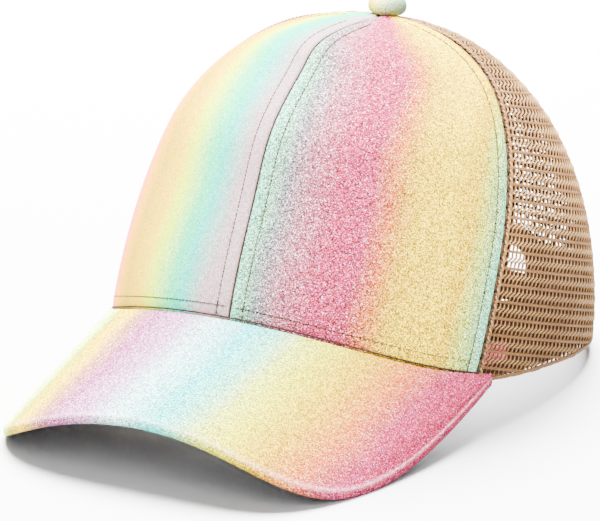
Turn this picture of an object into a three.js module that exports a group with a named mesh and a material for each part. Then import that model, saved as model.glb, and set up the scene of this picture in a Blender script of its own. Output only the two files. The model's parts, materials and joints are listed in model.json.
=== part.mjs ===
// Ponytail baseball cap: two cloth front panels, four net panels, a curved peak with its tucked
// ends, a button, a sweatband, seam tapes, and a bound opening at the back closed by two straps.
// Millimetres, +Z up. The peak points to -Y and the wearer's left is +X. The cap lies as it rests
// by itself: on the low sides of its peak and the back of its rim.
import * as THREE from 'three';

// Crown, measured in its own frame: the rim lies flat at height 0, around the middle of the head
const CROWN_HALF_WIDTH = 84;
const CROWN_FRONT = 91.2;
const CROWN_BACK = 106.7;
const CROWN_HEIGHT = 121;
const APEX_SET_BACK = 16.5;
const FRONT_SQUARENESS = 2.2;
const BACK_SQUARENESS = 2.5;

// Crown sections, a row for each elevation of the dome, as shares of the crown's half width and of
// its front and back lengths
const CROWN_PROFILE = [
  { elevation: 0, side: 1, front: 1, back: 1 },
  { elevation: 15, side: 0.98, front: 0.982, back: 0.92 },
  { elevation: 30, side: 0.925, front: 0.922, back: 0.749 },
  { elevation: 45, side: 0.818, front: 0.856, back: 0.522 },
  { elevation: 60, side: 0.634, front: 0.686, back: 0.293 },
  { elevation: 75, side: 0.362, front: 0.509, back: 0.147 },
  { elevation: 90, side: 0, front: 0, back: 0 },
];

// Seams between the panels, as bearings from the peak round to the wearer's left
const FRONT_SEAM_BEARING = 67;
const FRONT_SEAM_SWING = 19.5;
const BACK_SEAM_BEARING = 124;

// Cloth and net thicknesses, the gap left between neighbouring pieces, and the one between layers
const PANEL_WALL = 2;
const NET_WALL = 1.2;
const TAPE_WALL = 1;
const BAND_WALL = 1.2;
const STRAP_WALL = 1.2;
const BINDING_WALL = 1.8;
const GAP = 0.3;
const LAYER_GAP = 0.45;

// Peak: its root climbs over the forehead as an arch, and its sides curl down
const PEAK_LENGTH = 57.2;
const PEAK_HALF_WIDTH = 81.4;
const PEAK_SQUARENESS = 4.6;
const PEAK_WIDEST_Y = 18;
const PEAK_DROOP_ANGLE = 25;
const PEAK_CURL_DROP = 43;
const PEAK_CURL_SHARPNESS = 0.41;
const PEAK_ROOT_ARCH = 18.9;
const PEAK_ROOT_CORNER = 2.8;
const PEAK_ROOT_SHARPNESS = 1.6;
const PEAK_CORNER_SPAN = 3.5;
const PEAK_END_SHARPNESS = 23;
const PEAK_THICKNESS = 3.8;

// Ends of the peak's cloth, tucked up behind the net beside the front seam
const TUCK_SET_BACK = 5.2;
const TUCK_WIDTH = 11;
const TUCK_LOW = 6;
const TUCK_HIGH = 14;

// Button on the apex and the hole under it, where the nets end a little before the front panels
const BUTTON_RADIUS = 7.3;
const BUTTON_HEIGHT = 6.6;
const BUTTON_EDGE = 2.6;
const BUTTON_DOME = 0.2;
const BUTTON_SHANK_RADIUS = 2.2;
const BUTTON_SHANK_LENGTH = 2.6;
const APEX_HOLE_ELEVATION = 86.5;
const PANEL_TOP_ELEVATION = 88;

// Sweatband, tapes, back opening and closure
const BAND_HEIGHT = 28;
const TAPE_HALF_WIDTH = 7;
const TAPE_TOP_ELEVATION = 76;
const OPENING_HALF_WIDTH = 26;
const OPENING_HEIGHT = 25;
const OPENING_SQUARENESS = 4;
const BINDING_WIDTH = 8;
const STRAP_LIFT = 0.8;
const STRAP_WIDTH = 12.5;
const STRAP_ROOT_LENGTH = 16;
const STRAP_OVERLAP = 32;

// Grid steps of the faceted surfaces
const FRONT_STEPS = [14, 18];
const NET_STEPS = [11, 17];
const RIM_COLUMNS = 6;
const ARCH_COLUMNS = 11;
const BACK_NET_STEPS = [RIM_COLUMNS + ARCH_COLUMNS, 16];
const PEAK_STEPS = [34, 8];
const RIM_CURVE_STEPS = 48;
const BAND_STEPS = [64, 3];
const TAPE_STEPS = [2, 16];
const BINDING_STEPS = [2 * ARCH_COLUMNS, 1];
const STRAP_STEPS = [18, 2];
const TUCK_STEPS = [4, 3];
const BUTTON_STEPS = 16;
const BUTTON_EDGE_STEPS = 8;

const CLOTH = { color: 0xe9c3c4, roughness: 0.75, metalness: 0.05 };
const NET = { color: 0xc89a6e, roughness: 0.85, metalness: 0 };
const TRIM = { color: 0xb98c60, roughness: 0.9, metalness: 0 };
const PINK = { color: 0xe08a9c, roughness: 0.8, metalness: 0 };

const { degToRad, radToDeg, lerp, clamp, smoothstep } = THREE.MathUtils;

function signedPower(value, exponent) {
  return Math.sign(value) * Math.abs(value) ** exponent;
}

// A column of the section table at any elevation: a Catmull-Rom curve through its rows, mirrored
// at the rim and turned over at the apex, so that the dome closes smoothly.
function profileShare(column, elevation) {
  const last = CROWN_PROFILE.length - 1;
  const place = clamp(elevation / CROWN_PROFILE[last].elevation, 0, 1) * last;
  const low = Math.min(Math.floor(place), last - 1);
  const t = place - low;
  const row = (index) => {
    if (index < 0) return CROWN_PROFILE[-index][column];
    if (index > last) return -CROWN_PROFILE[2 * last - index][column];
    return CROWN_PROFILE[index][column];
  };
  const [p0, p1, p2, p3] = [row(low - 1), row(low), row(low + 1), row(low + 2)];
  const slopeIn = (p2 - p0) / 2;
  const slopeOut = (p3 - p1) / 2;
  return p1 + slopeIn * t + (3 * (p2 - p1) - 2 * slopeIn - slopeOut) * t ** 2
    + (2 * (p1 - p2) + slopeIn + slopeOut) * t ** 3;
}

function sectionExponent(squareness, elevation) {
  return 2 / lerp(squareness, 2, Math.sin(degToRad(elevation)) ** 2);
}

// A point of the crown's outer face
function crownPoint(bearing, elevation) {
  const rise = Math.sin(degToRad(elevation));
  const ahead = Math.cos(degToRad(bearing));
  const aside = Math.sin(degToRad(bearing));
  const squareness = ahead > 0 ? FRONT_SQUARENESS : BACK_SQUARENESS;
  const exponent = sectionExponent(squareness, elevation);
  const reach = ahead > 0
    ? CROWN_FRONT * profileShare('front', elevation)
    : CROWN_BACK * profileShare('back', elevation);
  return new THREE.Vector3(
    CROWN_HALF_WIDTH * profileShare('side', elevation) * signedPower(aside, exponent),
    APEX_SET_BACK * rise - reach * signedPower(ahead, exponent),
    CROWN_HEIGHT * rise,
  );
}

const NORMAL_STEP = 0.05;

function crownNormal(bearing, elevation) {
  const low = Math.max(elevation - NORMAL_STEP, 0);
  const along = crownPoint(bearing + NORMAL_STEP, elevation).sub(crownPoint(bearing - NORMAL_STEP, elevation));
  const up = crownPoint(bearing, elevation + NORMAL_STEP).sub(crownPoint(bearing, low));
  return along.cross(up).normalize();
}

// A point at a depth below the crown's outer face; a negative depth lies outside it
function crownAtDepth(bearing, elevation, depth) {
  const point = crownPoint(bearing, elevation);
  return point.addScaledVector(crownNormal(bearing, elevation), -depth);
}

function elevationAt(height) {
  return radToDeg(Math.asin(clamp(height / CROWN_HEIGHT, 0, 1)));
}

// The angle that a length along the crown spans at a bearing and elevation
function angleOfLength(length, bearing, elevation) {
  const step = crownPoint(bearing + 0.5, elevation).distanceTo(crownPoint(bearing - 0.5, elevation));
  return length / step;
}

// The bearing from the middle of the front or back at which the crown is a length aside of it
function bearingFromFront(aside, elevation, squareness) {
  const share = aside / (CROWN_HALF_WIDTH * profileShare('side', elevation));
  const exponent = sectionExponent(squareness, elevation);
  return radToDeg(Math.asin(signedPower(share, 1 / exponent)));
}

// A closed slab between an outer and an inner grid of points
function slabGeometry([columns, rows], outer, inner) {
  const positions = [];
  for (const face of [outer, inner]) {
    for (let i = 0; i <= columns; i += 1) {
      for (let j = 0; j <= rows; j += 1) positions.push(...face(i / columns, j / rows).toArray());
    }
  }
  const layer = (columns + 1) * (rows + 1);
  const at = (i, j) => i * (rows + 1) + j;
  const index = [];
  const quad = (a, b, c, d) => index.push(a, b, c, a, c, d);
  for (let i = 0; i < columns; i += 1) {
    for (let j = 0; j < rows; j += 1) {
      quad(at(i, j), at(i + 1, j), at(i + 1, j + 1), at(i, j + 1));
      quad(layer + at(i, j), layer + at(i, j + 1), layer + at(i + 1, j + 1), layer + at(i + 1, j));
    }
  }
  const wall = (a, b) => quad(a, layer + a, layer + b, b);
  for (let i = 0; i < columns; i += 1) {
    wall(at(i, 0), at(i + 1, 0));
    wall(at(i + 1, rows), at(i, rows));
  }
  for (let j = 0; j < rows; j += 1) {
    wall(at(0, j + 1), at(0, j));
    wall(at(columns, j), at(columns, j + 1));
  }
  const geometry = new THREE.BufferGeometry();
  geometry.setAttribute('position', new THREE.Float32BufferAttribute(positions, 3));
  geometry.setIndex(signedVolume(positions, index) > 0 ? index : index.reverse());
  geometry.computeVertexNormals();
  return geometry;
}

function signedVolume(positions, index) {
  const corner = (i) => new THREE.Vector3().fromArray(positions, 3 * index[i]);
  let volume = 0;
  for (let i = 0; i < index.length; i += 3) {
    volume += corner(i).dot(corner(i + 1).cross(corner(i + 2))) / 6;
  }
  return volume;
}

// A piece of the crown between two depths. Its place gives bearing and elevation for each share
// across and up the piece, and its depth may change along it.
function crownSlab(steps, place, outerDepth, wall) {
  const face = (extra) => (u, v) => {
    const { bearing, elevation } = place(u, v);
    const depth = typeof outerDepth === 'function' ? outerDepth(bearing) : outerDepth;
    return crownAtDepth(bearing, elevation, depth + extra);
  };
  return slabGeometry(steps, face(0), face(wall));
}

// Lines on the crown
function frontSeam(elevation) {
  return FRONT_SEAM_BEARING + FRONT_SEAM_SWING * (elevation / 90);
}

// The peak ends where the crown is as wide as the peak, and near the crown's widest place where
// the peak is the wider one
const peakSpread = PEAK_HALF_WIDTH / CROWN_HALF_WIDTH;
const peakEndShare = peakSpread / (1 + peakSpread ** PEAK_END_SHARPNESS) ** (1 / PEAK_END_SHARPNESS);
const peakEndBearing = bearingFromFront(CROWN_HALF_WIDTH * peakEndShare, 0, FRONT_SQUARENESS);
const peakCornerBearing = peakEndBearing + PEAK_CORNER_SPAN;

function peakRootHeight(bearing) {
  const span = clamp(Math.abs(bearing) / peakCornerBearing, 0, 1);
  const arch = Math.cos(span * Math.PI / 2) ** PEAK_ROOT_SHARPNESS;
  return lerp(PEAK_ROOT_CORNER, PEAK_ROOT_ARCH, arch);
}

// The front panels reach down behind the peak's root, to its underside
function rimHeight(bearing) {
  if (Math.abs(bearing) > peakCornerBearing) return 0;
  return Math.max(0, peakRootHeight(bearing) - PEAK_THICKNESS);
}

// A point on the back opening's arch, grown outwards by a margin. Its place along the arch is 1 at
// the left foot, 0 at the top and -1 at the right foot.
function openingArch(along, margin) {
  const climb = (1 - Math.abs(along)) / Math.max(Math.abs(along), 1e-6);
  const turn = Math.atan(climb ** (OPENING_SQUARENESS / 2));
  const exponent = 2 / OPENING_SQUARENESS;
  const aside = (OPENING_HALF_WIDTH + margin) * Math.sign(along) * Math.cos(turn) ** exponent;
  const elevation = elevationAt((OPENING_HEIGHT + margin) * Math.sin(turn) ** exponent);
  return { bearing: rearBearing(aside, elevation), elevation };
}

function rearBearing(aside, elevation) {
  return 180 - bearingFromFront(aside, elevation, BACK_SQUARENESS);
}

// Panels between two seams, inset at each seam by half the gap
function insetBearing(bearing, elevation, side) {
  return bearing + side * angleOfLength(GAP / 2, bearing, elevation);
}

function frontPanelPlace(u, v) {
  const rim = elevationAt(rimHeight(FRONT_SEAM_BEARING * u));
  const elevation = lerp(rim, PANEL_TOP_ELEVATION, v);
  const start = insetBearing(0, elevation, 1);
  const end = insetBearing(frontSeam(elevation), elevation, -1);
  return { bearing: lerp(start, end, u), elevation };
}

function sideNetPlace(u, v) {
  const elevation = lerp(0, APEX_HOLE_ELEVATION, v);
  const start = insetBearing(frontSeam(elevation), elevation, 1);
  const end = insetBearing(BACK_SEAM_BEARING, elevation, -1);
  return { bearing: lerp(start, end, u), elevation };
}

// The back panel's lower edge runs along the rim and then up and over the binding's outer edge
const RIM_SHARE = RIM_COLUMNS / (RIM_COLUMNS + ARCH_COLUMNS);

function backNetPlace(u, v) {
  const foot = openingArch(1, BINDING_WIDTH + GAP);
  const rimStart = insetBearing(BACK_SEAM_BEARING, 0, 1);
  const low = u < RIM_SHARE
    ? { bearing: lerp(rimStart, foot.bearing, u / RIM_SHARE), elevation: 0 }
    : openingArch((1 - u) / (1 - RIM_SHARE), BINDING_WIDTH + GAP);
  const elevation = lerp(low.elevation, APEX_HOLE_ELEVATION, v);
  const start = insetBearing(BACK_SEAM_BEARING, elevation, 1);
  const end = insetBearing(180, elevation, -1);
  const lowInset = Math.min(low.bearing, end);
  return { bearing: lerp(lowInset, lerp(start, end, u), v), elevation };
}

// Peak, between its root on the crown and its rim
function peakSurfaceHeight(x, y) {
  const rootFront = crownPoint(0, elevationAt(PEAK_ROOT_ARCH)).y;
  const share = Math.min(Math.abs(x) / PEAK_HALF_WIDTH, 1);
  const curl = PEAK_CURL_DROP * lerp(share ** 2, share ** 4, PEAK_CURL_SHARPNESS);
  return PEAK_ROOT_ARCH - Math.tan(degToRad(PEAK_DROOP_ANGLE)) * (rootFront - y) - curl;
}

function peakRootPoint(bearing, drop) {
  const elevation = elevationAt(peakRootHeight(bearing) - drop);
  const point = crownAtDepth(bearing, elevation, -GAP);
  point.z = peakRootHeight(bearing) - drop;
  return point;
}

// The rim is half of a squared oval, from the middle of the peak to its end beside the crown
function peakRimCurve() {
  const reach = PEAK_WIDEST_Y + CROWN_FRONT + PEAK_LENGTH;
  const exponent = 2 / PEAK_SQUARENESS;
  const endY = crownPoint(peakEndBearing, 0).y + GAP;
  const endTurn = Math.acos(((PEAK_WIDEST_Y - endY) / reach) ** (1 / exponent));
  const points = [];
  for (let i = 0; i <= RIM_CURVE_STEPS; i += 1) {
    const turn = endTurn * i / RIM_CURVE_STEPS;
    points.push(new THREE.Vector3(
      PEAK_HALF_WIDTH * Math.sin(turn) ** exponent,
      PEAK_WIDEST_Y - reach * Math.cos(turn) ** exponent,
      0,
    ));
  }
  return new THREE.CatmullRomCurve3(points, false, 'chordal');
}

const peakRim = peakRimCurve();

function peakTop(u, v) {
  const across = 2 * u - 1;
  const root = peakRootPoint(across * peakEndBearing, 0);
  const rim = peakRim.getPointAt(Math.abs(across));
  rim.x *= Math.sign(across);
  const point = root.clone().lerp(rim, v);
  const rootMiss = root.z - peakSurfaceHeight(root.x, root.y);
  point.z = peakSurfaceHeight(point.x, point.y) + rootMiss * (1 - v);
  return point;
}

function peakUnder(u, v) {
  if (v === 0) return peakRootPoint((2 * u - 1) * peakEndBearing, PEAK_THICKNESS);
  const point = peakTop(u, v);
  point.z -= PEAK_THICKNESS;
  return point;
}

// Button: a round edged disc with a short shank in the apex hole
function buttonGeometry() {
  const profile = [
    new THREE.Vector2(0, -BUTTON_SHANK_LENGTH),
    new THREE.Vector2(BUTTON_SHANK_RADIUS, -BUTTON_SHANK_LENGTH),
    new THREE.Vector2(BUTTON_SHANK_RADIUS, GAP),
  ];
  const edge = new THREE.EllipseCurve(
    BUTTON_RADIUS - BUTTON_EDGE, GAP + BUTTON_HEIGHT / 2, BUTTON_EDGE, BUTTON_HEIGHT / 2,
    -Math.PI / 2, Math.PI / 2,
  );
  profile.push(...edge.getPoints(BUTTON_EDGE_STEPS), new THREE.Vector2(0, GAP + BUTTON_HEIGHT + BUTTON_DOME));
  return new THREE.LatheGeometry(profile, BUTTON_STEPS).rotateX(Math.PI / 2);
}

// Depths of the layers inside the crown
const UNDER_NET = NET_WALL + LAYER_GAP;
const UNDER_PANEL = PANEL_WALL + LAYER_GAP;
const BINDING_OUTSIDE = -GAP;
const STRAP_DEPTH = BINDING_OUTSIDE + BINDING_WALL + LAYER_GAP;
const UNDER_STRAP = STRAP_DEPTH + STRAP_WALL + LAYER_GAP;
const openingFootBearing = openingArch(1, 0).bearing;

function bandPlace(u, v) {
  const bearing = lerp(-openingFootBearing, openingFootBearing, u);
  const low = rimHeight(bearing) + GAP;
  return { bearing, elevation: elevationAt(low + BAND_HEIGHT * v) };
}

function tapePlace(seam) {
  return (u, v) => {
    const low = elevationAt(rimHeight(seam(0)) + BAND_HEIGHT + 2 * GAP);
    const elevation = lerp(low, TAPE_TOP_ELEVATION, v);
    const bearing = seam(elevation);
    const aside = (2 * u - 1) * angleOfLength(TAPE_HALF_WIDTH, bearing, elevation);
    return { bearing: bearing + aside, elevation };
  };
}

function rearTapePlace(u, v) {
  const low = elevationAt(OPENING_HEIGHT + BINDING_WIDTH + GAP);
  const elevation = lerp(low, TAPE_TOP_ELEVATION, v);
  return { bearing: rearBearing((1 - 2 * u) * TAPE_HALF_WIDTH, elevation), elevation };
}

function bindingPlace(u, v) {
  return openingArch(1 - 2 * u, BINDING_WIDTH * v);
}

// A strap runs from its root behind the back net, across the opening and past its middle
function strapPlace(u, v) {
  const root = OPENING_HALF_WIDTH + STRAP_ROOT_LENGTH;
  const elevation = elevationAt(STRAP_LIFT + STRAP_WIDTH * v);
  return { bearing: rearBearing(lerp(root, -STRAP_OVERLAP / 2, u), elevation), elevation };
}

// The right strap dips under the left strap's free end
function rightStrapDepth(bearing) {
  const freeEnd = rearBearing(STRAP_OVERLAP / 2 + 2 * GAP, 0);
  const dip = smoothstep(bearing, openingFootBearing, freeEnd);
  return lerp(STRAP_DEPTH, UNDER_STRAP, dip);
}

function tuckPlace(u, v) {
  const seam = frontSeam(0);
  const reach = TUCK_SET_BACK + TUCK_WIDTH * u;
  return {
    bearing: seam + angleOfLength(reach, seam, 0),
    elevation: elevationAt(lerp(TUCK_LOW, TUCK_HIGH, v)),
  };
}

// The cap as a scene graph
const cap = new THREE.Group();

function addPiece(name, geometry, look) {
  const mesh = new THREE.Mesh(geometry, new THREE.MeshStandardMaterial(look));
  mesh.name = name;
  cap.add(mesh);
  return mesh;
}

function mirrored(place) {
  return (u, v) => {
    const { bearing, elevation } = place(u, v);
    return { bearing: -bearing, elevation };
  };
}

function addPair(name, steps, place, depth, wall, look) {
  addPiece(`${name}_left`, crownSlab(steps, place, depth, wall), look);
  const mirroredDepth = typeof depth === 'function' ? (bearing) => depth(-bearing) : depth;
  addPiece(`${name}_right`, crownSlab(steps, mirrored(place), mirroredDepth, wall), look);
}

addPair('front_panel', FRONT_STEPS, frontPanelPlace, 0, PANEL_WALL, CLOTH);
addPair('side_net', NET_STEPS, sideNetPlace, 0, NET_WALL, NET);
addPair('back_net', BACK_NET_STEPS, backNetPlace, 0, NET_WALL, NET);
addPiece('peak', slabGeometry(PEAK_STEPS, peakTop, peakUnder), CLOTH);
addPair('peak_tuck', TUCK_STEPS, tuckPlace, UNDER_NET, TAPE_WALL, PINK);
addPiece('button', buttonGeometry(), CLOTH).position.set(0, APEX_SET_BACK, CROWN_HEIGHT);
addPiece('sweatband', crownSlab(BAND_STEPS, bandPlace, UNDER_STRAP, BAND_WALL), TRIM);
addPair('front_seam_tape', TAPE_STEPS, tapePlace(frontSeam), UNDER_PANEL, TAPE_WALL, TRIM);
addPair('back_seam_tape', TAPE_STEPS, tapePlace(() => BACK_SEAM_BEARING), UNDER_NET, TAPE_WALL, TRIM);
addPiece('rear_seam_tape', crownSlab(TAPE_STEPS, rearTapePlace, UNDER_NET, TAPE_WALL), TRIM);
addPiece('opening_binding', crownSlab(BINDING_STEPS, bindingPlace, BINDING_OUTSIDE, BINDING_WALL), TRIM);
addPiece('closure_strap_left', crownSlab(STRAP_STEPS, strapPlace, STRAP_DEPTH, STRAP_WALL), TRIM);
addPiece(
  'closure_strap_right',
  crownSlab(STRAP_STEPS, mirrored(strapPlace), (bearing) => rightStrapDepth(-bearing), STRAP_WALL),
  TRIM,
);

// The cap leans back until the low sides of the peak and the back of the rim touch the floor
function lowest(names, tilt) {
  const turn = new THREE.Matrix4().makeRotationX(-tilt);
  const point = new THREE.Vector3();
  let low = Infinity;
  for (const name of names) {
    const position = cap.getObjectByName(name).geometry.getAttribute('position');
    for (let i = 0; i < position.count; i += 1) {
      low = Math.min(low, point.fromBufferAttribute(position, i).applyMatrix4(turn).z);
    }
  }
  return low;
}

function restTilt() {
  const backOfRim = ['back_net_left', 'back_net_right', 'opening_binding'];
  let [low, high] = [0, Math.PI / 6];
  for (let i = 0; i < 40; i += 1) {
    const middle = (low + high) / 2;
    if (lowest(['peak'], middle) < lowest(backOfRim, middle)) low = middle;
    else high = middle;
  }
  return (low + high) / 2;
}

cap.rotation.x = -restTilt();
cap.updateMatrixWorld(true);
const box = new THREE.Box3().setFromObject(cap, true);
cap.position.set(0, -(box.min.y + box.max.y) / 2, -box.min.z);

const assembly = new THREE.Group();
assembly.add(cap);
assembly.updateMatrixWorld(true);

export default assembly;
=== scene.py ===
"""Ponytail baseball cap: striped glitter cloth in front and on the peak, open tan net behind,
a bound opening with two straps at the back.

Shapes are worked out in millimetres in the crown's own frame, where the rim lies flat at height 0,
and are turned and moved to the place where the cap rests when they become meshes.
"""
import json

import bpy
import numpy as np
from mathutils import Matrix


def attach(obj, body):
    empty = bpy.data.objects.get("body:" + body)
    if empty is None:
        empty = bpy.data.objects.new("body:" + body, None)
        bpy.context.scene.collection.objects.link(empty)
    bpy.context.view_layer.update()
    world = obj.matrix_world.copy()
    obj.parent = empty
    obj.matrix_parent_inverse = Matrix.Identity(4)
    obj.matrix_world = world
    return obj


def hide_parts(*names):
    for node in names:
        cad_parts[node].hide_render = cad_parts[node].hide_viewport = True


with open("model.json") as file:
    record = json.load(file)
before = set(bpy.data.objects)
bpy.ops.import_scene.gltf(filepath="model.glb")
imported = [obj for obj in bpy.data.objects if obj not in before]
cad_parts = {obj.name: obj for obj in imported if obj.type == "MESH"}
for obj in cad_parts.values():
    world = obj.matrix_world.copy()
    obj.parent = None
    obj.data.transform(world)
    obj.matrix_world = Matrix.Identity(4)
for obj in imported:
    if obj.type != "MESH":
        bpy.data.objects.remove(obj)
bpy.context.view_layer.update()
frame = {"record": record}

MM = 0.001

# The crown's own frame in the resting cap: the mount named head stands at the middle of the rim
# and points straight down out of the crown
head = next(mount for mount in frame["record"]["mounts"] if mount["name"] == "head")
RIM_MIDDLE = np.array(head["pos_m"])
LEAN = np.arctan2(-head["axis"][1], -head["axis"][2])

# Crown, as the solids have it
CROWN_HALF_WIDTH = 84
CROWN_FRONT = 91.2
CROWN_BACK = 106.7
CROWN_HEIGHT = 121
APEX_SET_BACK = 16.5
FRONT_SQUARENESS = 2.2
BACK_SQUARENESS = 2.5
SECTION_STEP = 15
CROWN_SECTIONS = {
    "side": (1, 0.98, 0.925, 0.818, 0.634, 0.362, 0),
    "front": (1, 0.982, 0.922, 0.856, 0.686, 0.509, 0),
    "back": (1, 0.92, 0.749, 0.522, 0.293, 0.147, 0),
}
FRONT_SEAM_BEARING = 67
FRONT_SEAM_SWING = 19.5
BACK_SEAM_BEARING = 124
APEX_HOLE_ELEVATION = 86.5
PANEL_TOP_ELEVATION = 88

# Peak
PEAK_LENGTH = 57.2
PEAK_HALF_WIDTH = 81.4
PEAK_SQUARENESS = 4.6
PEAK_WIDEST_Y = 18
PEAK_DROOP_ANGLE = 25
PEAK_CURL_DROP = 43
PEAK_CURL_SHARPNESS = 0.41
PEAK_ROOT_ARCH = 18.9
PEAK_ROOT_CORNER = 2.8
PEAK_ROOT_SHARPNESS = 1.6
PEAK_CORNER_SPAN = 3.5
PEAK_END_BEARING = 71.42
PEAK_THICKNESS = 3.8

# Walls, and the gaps between neighbours and between layers
PANEL_WALL = 2
NET_WALL = 1.2
TAPE_WALL = 1
BAND_WALL = 1.2
STRAP_WALL = 1.2
BINDING_WALL = 1.8
GAP = 0.3
LAYER_GAP = 0.45

# Small pieces
TUCK_SET_BACK = 5.2
TUCK_WIDTH = 11
TUCK_LOW = 6
TUCK_HIGH = 14
BUTTON_RADIUS = 7.3
BUTTON_HEIGHT = 6.6
BUTTON_EDGE = 2.6
BUTTON_DOME = 0.2
BAND_HEIGHT = 28
TAPE_HALF_WIDTH = 7
TAPE_TOP_ELEVATION = 76
OPENING_HALF_WIDTH = 26
OPENING_HEIGHT = 25
OPENING_SQUARENESS = 4
BINDING_WIDTH = 8
STRAP_LIFT = 0.8
STRAP_WIDTH = 12.5
STRAP_ROOT_LENGTH = 16
STRAP_OVERLAP = 32

# Sewing
SEAM_ROW = 5.5
HEM_ROW = 4
STITCH_PITCH = 3.3
STITCH_LENGTH = 2.0
THREAD_RADIUS = 0.25
NEEDLE_HOLE_RADIUS = 0.3

# Net: columns of holes, in pairs of rows. Between the two rows of a pair the threads cross over
# to the next column; between the pairs runs a solid band.
NET_PAIR = 6.0
BAND_HALF = 0.45
CROSSING_LOW = 2.35
CROSSING_HIGH = 3.65
HOLE_SHARE = 0.88
SLIT_SHARE = 0.5
SEAM_PITCH = 2.2
PITCH_GROWTH = 0.026
BACK_PITCH = 3.1
SIDE_NET_DESCENT = 10.0
FOLD_INSET = 1.0
FOLD_WIND = 0.45
FOLD_RADIUS = 0.45
FOLD_LAY = 3.0

# Depths of the layers below the crown's outer face
UNDER_NET = NET_WALL + LAYER_GAP
UNDER_PANEL = PANEL_WALL + LAYER_GAP
BINDING_DEPTH = -GAP
STRAP_DEPTH = BINDING_DEPTH + BINDING_WALL + LAYER_GAP
UNDER_STRAP = STRAP_DEPTH + STRAP_WALL + LAYER_GAP


def mix(a, b, share):
    return a + (b - a) * share


def smooth_step(value, low, high):
    t = np.clip((value - low) / (high - low), 0, 1)
    return t * t * (3 - 2 * t)


def signed_power(value, exponent):
    return np.sign(value) * np.abs(value) ** exponent


def unit(vectors):
    return vectors / np.linalg.norm(vectors, axis=-1, keepdims=True)


def lengths_along(points, axis):
    """Length from the first point to each point of a polyline along an axis of the grid."""
    steps = np.linalg.norm(np.diff(points, axis=axis), axis=-1)
    start = np.zeros_like(np.take(steps, [0], axis=axis))
    return np.concatenate([start, np.cumsum(steps, axis=axis)], axis=axis)


# Crown


def section_share(column, elevation):
    """A column of the section table at any elevation: a Catmull-Rom curve through its rows,
    mirrored at the rim and turned over at the apex."""
    rows = np.array(CROWN_SECTIONS[column], float)
    last = len(rows) - 1
    rows = np.concatenate([rows[1:2], rows, -rows[-2:-3:-1]])
    place = np.clip(elevation / SECTION_STEP, 0, last)
    low = np.minimum(np.floor(place).astype(int), last - 1)
    t = place - low
    p0, p1, p2, p3 = (rows[low + i] for i in range(4))
    slope_in = (p2 - p0) / 2
    slope_out = (p3 - p1) / 2
    return (
        p1
        + slope_in * t
        + (3 * (p2 - p1) - 2 * slope_in - slope_out) * t**2
        + (2 * (p1 - p2) + slope_in + slope_out) * t**3
    )


def section_exponent(squareness, elevation):
    return 2 / mix(squareness, 2, np.sin(np.radians(elevation)) ** 2)


def crown_point(bearing, elevation):
    """Outer face of the crown: at each elevation a squared oval, wider than a plain one by its
    exponent, with its own half width, front reach and back reach from the section table."""
    bearing, elevation = np.broadcast_arrays(*np.atleast_1d(bearing, elevation))
    rise = np.sin(np.radians(elevation))
    ahead = np.cos(np.radians(bearing))
    aside = np.sin(np.radians(bearing))
    front = ahead > 0
    exponent = section_exponent(np.where(front, FRONT_SQUARENESS, BACK_SQUARENESS), elevation)
    reach = np.where(
        front,
        CROWN_FRONT * section_share("front", elevation),
        CROWN_BACK * section_share("back", elevation),
    )
    x = CROWN_HALF_WIDTH * section_share("side", elevation) * signed_power(aside, exponent)
    y = APEX_SET_BACK * rise - reach * signed_power(ahead, exponent)
    return np.stack([x, y, CROWN_HEIGHT * rise], axis=-1)


def crown_normal(bearing, elevation, step=0.05):
    """Outward normal, from the differences across and up the crown."""
    bearing, elevation = np.broadcast_arrays(*np.atleast_1d(bearing, elevation))
    low = np.maximum(elevation - step, 0)
    along = crown_point(bearing + step, elevation) - crown_point(bearing - step, elevation)
    up = crown_point(bearing, elevation + step) - crown_point(bearing, low)
    return unit(np.cross(along, up))


def crown_at_depth(bearing, elevation, depth):
    """A point at a depth below the outer face; a negative depth lies outside it."""
    point = crown_point(bearing, elevation)
    depth = np.broadcast_to(depth, point.shape[:-1])
    return point - crown_normal(bearing, elevation) * depth[..., None]


def elevation_at(height):
    return np.degrees(np.arcsin(np.clip(height / CROWN_HEIGHT, 0, 1)))


def front_seam(elevation):
    return FRONT_SEAM_BEARING + FRONT_SEAM_SWING * elevation / 90


def back_seam(elevation):
    return BACK_SEAM_BEARING + 0 * elevation


def rear_seam(elevation):
    return 180 + 0 * elevation


def centre_seam(elevation):
    return 0 * elevation


def rear_bearing(aside, elevation):
    """Bearing near the middle of the back at which the crown is a length aside of it."""
    share = aside / (CROWN_HALF_WIDTH * section_share("side", elevation))
    exponent = section_exponent(BACK_SQUARENESS, elevation)
    return 180 - np.degrees(np.arcsin(signed_power(share, 1 / exponent)))


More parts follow.
